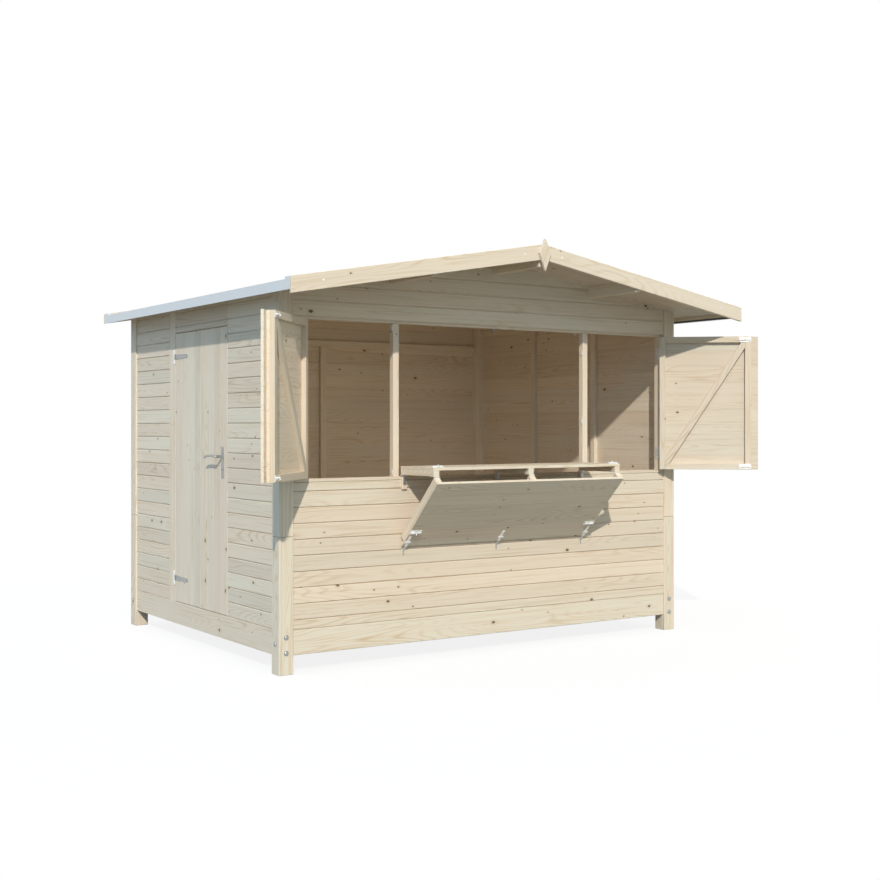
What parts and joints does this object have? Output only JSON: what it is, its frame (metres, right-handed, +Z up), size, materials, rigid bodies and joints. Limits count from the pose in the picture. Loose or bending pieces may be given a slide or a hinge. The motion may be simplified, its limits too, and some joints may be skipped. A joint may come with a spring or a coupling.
{
  "type": "wooden market stall",
  "caption": "Gabled wooden market stall with a side door, two swinging shutters and a folding hatch that makes a serving counter.",
  "frame": {"origin": "on the ground, under the middle of the front left corner post", "axes": "+Z up, front with the serving opening towards -Y, +X to the right along the front"},
  "size_m": [3.6888, 2.871, 2.491],
  "materials": {
    "spruce_boards": "untreated planed softwood boards",
    "spruce_timber": "untreated planed softwood timber",
    "roof_felt": "matt mineral roofing felt",
    "eave_metal": "satin light grey edge strip",
    "zinc_fittings": "bright zinc plate"
  },
  "bodies": {
    "stall": {"front_wall": "spruce_boards", "front_gable": "spruce_boards", "back_wall": "spruce_boards", "left_wall_front": "spruce_boards", "left_wall_back": "spruce_boards", "left_wall_over_door": "spruce_boards", "right_wall": "spruce_boards", "floor_boards": "spruce_boards", "roof_boards_left": "spruce_boards", "roof_boards_right": "spruce_boards", "post_front_left": "spruce_timber", "post_front_right": "spruce_timber", "post_back_left": "spruce_timber", "post_back_right": "spruce_timber", "skirting_boards": "spruce_timber", "floor_joists": "spruce_timber", "wall_plates": "spruce_timber", "wall_studs": "spruce_timber", "door_frame": "spruce_timber", "sill": "spruce_timber", "opening_jambs": "spruce_timber", "mullions": "spruce_timber", "ridge_beam": "spruce_timber", "purlins": "spruce_timber", "eave_rails": "spruce_timber", "bargeboards": "spruce_timber", "finials": "spruce_timber", "hinge_blocks": "spruce_timber", "wall_fittings": "zinc_fittings", "door_hinge_plates": "zinc_fittings", "roof_covering": "roof_felt", "eave_strips": "eave_metal"},
    "door": {"door_leaf": "spruce_boards", "door_ledges": "spruce_timber", "door_hinge_straps": "zinc_fittings", "door_handle": "zinc_fittings"},
    "left_shutter": {"shutter_left_boards": "spruce_boards", "shutter_left_frame": "spruce_timber", "shutter_left_fittings": "zinc_fittings"},
    "right_shutter": {"shutter_right_boards": "spruce_boards", "shutter_right_frame": "spruce_timber", "shutter_right_fittings": "zinc_fittings"},
    "counter_leaf": {"counter_boards": "spruce_boards", "counter_battens": "spruce_timber", "counter_fittings": "zinc_fittings"},
    "brace_leaf": {"brace_boards": "spruce_boards", "brace_battens": "spruce_timber", "brace_fittings": "zinc_fittings"}
  },
  "joints": [
    {"name": "door_hinge", "type": "hinge", "parent": "stall", "child": "door", "pos_m": [-0.039, 1.4555, 1.1175], "axis": [0, 0, -1], "range_deg": [0, 105]},
    {"name": "left_shutter_hinge", "type": "hinge", "parent": "stall", "child": "left_shutter", "pos_m": [0.0875, -0.039, 1.5405], "axis": [0, 0, 1], "range_deg": [-35.5, 134.5]},
    {"name": "right_shutter_hinge", "type": "hinge", "parent": "stall", "child": "right_shutter", "pos_m": [2.8225, -0.039, 1.5405], "axis": [0, 0, -1], "range_deg": [-32.5, 137.5]},
    {"name": "counter_hinge", "type": "hinge", "parent": "stall", "child": "counter_leaf", "pos_m": [1.455, -0.04, 1.095], "axis": [-1, 0, 0], "range_deg": [0, 90]},
    {"name": "brace_hinge", "type": "hinge", "parent": "counter_leaf", "child": "brace_leaf", "pos_m": [1.455, -0.39254, 1.098], "axis": [-1, 0, 0], "range_deg": [0, 134.71]}
  ]
}
